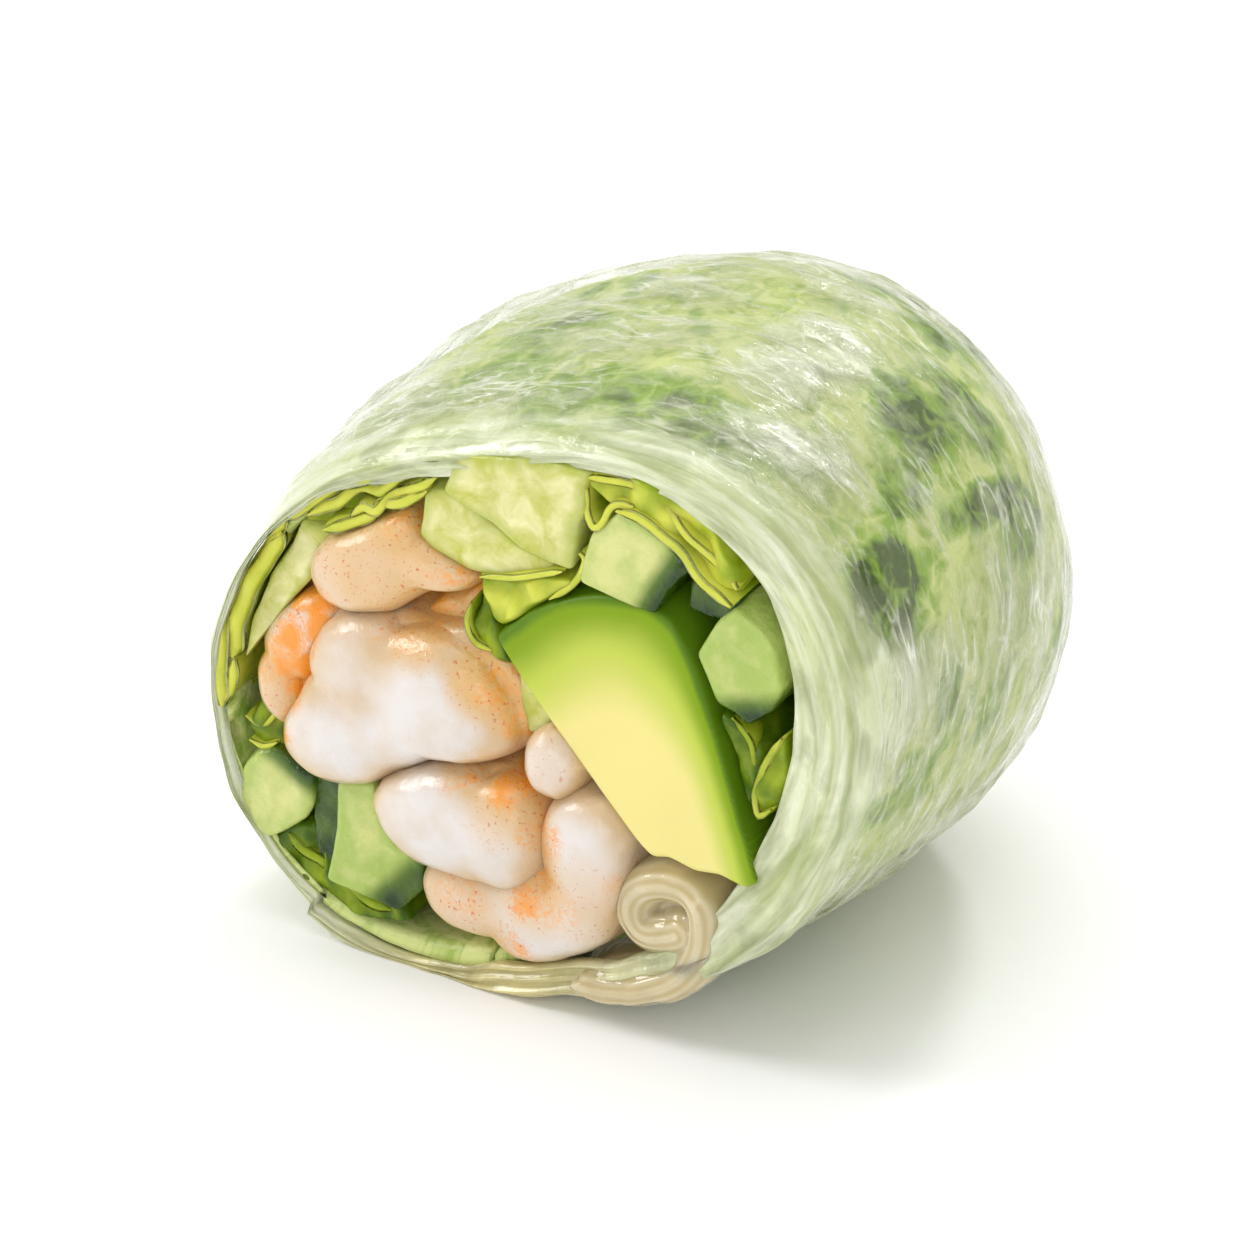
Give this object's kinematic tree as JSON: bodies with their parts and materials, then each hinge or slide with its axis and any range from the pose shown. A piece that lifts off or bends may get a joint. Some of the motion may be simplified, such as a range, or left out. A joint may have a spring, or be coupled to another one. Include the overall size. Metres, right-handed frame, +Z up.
{
  "type": "rice paper roll",
  "caption": "Half of a cut rice paper roll lying on its side, its cut face showing shrimp, avocado, cucumber and lettuce inside a clear wrapper.",
  "frame": {"origin": "middle of the roll's bounding box at the surface it rests on", "axes": "+Z up, the roll's length along Y with the cut face towards -Y, +X to the right of the cut face"},
  "size_m": [0.055, 0.0514, 0.0462],
  "materials": {
    "rice_paper": "wet translucent rice paper, milky and lightly wrinkled",
    "lettuce": "wet lettuce leaf, yellow-green to mid green",
    "lettuce_rib": "crisp pale green lettuce rib, watery",
    "cucumber": "watery pale green cucumber flesh with a dark green skin",
    "avocado": "buttery avocado flesh, pale yellow to bright green at the rim",
    "shrimp": "cooked shrimp, translucent white with orange membrane and specks"
  },
  "bodies": {
    "root": {"avocado_wedge": "avocado", "cucumber_bottom": "cucumber", "cucumber_bottom_skin": "cucumber", "cucumber_left": "cucumber", "cucumber_right": "cucumber", "cucumber_right_dark": "cucumber", "cucumber_top": "cucumber", "leaf_by_avocado": "lettuce", "leaf_curled": "lettuce", "leaf_left": "lettuce", "leaf_lower_left": "lettuce", "leaf_right": "lettuce", "leaf_right_edge": "lettuce", "leaf_upper_left": "lettuce", "leaf_upper_right": "lettuce", "lettuce_lining": "lettuce", "lettuce_rib_left": "lettuce_rib", "lettuce_rib_side": "lettuce_rib", "lettuce_rib_top": "lettuce_rib", "lettuce_scrap_middle": "lettuce_rib", "rice_paper_curl": "rice_paper", "rice_paper_wrapper": "rice_paper", "shrimp_left": "shrimp", "shrimp_lower": "shrimp", "shrimp_lower_front": "shrimp", "shrimp_middle": "shrimp", "shrimp_small_lobe": "shrimp", "shrimp_tail": "shrimp", "shrimp_upper": "shrimp"}
  },
  "joints": []
}
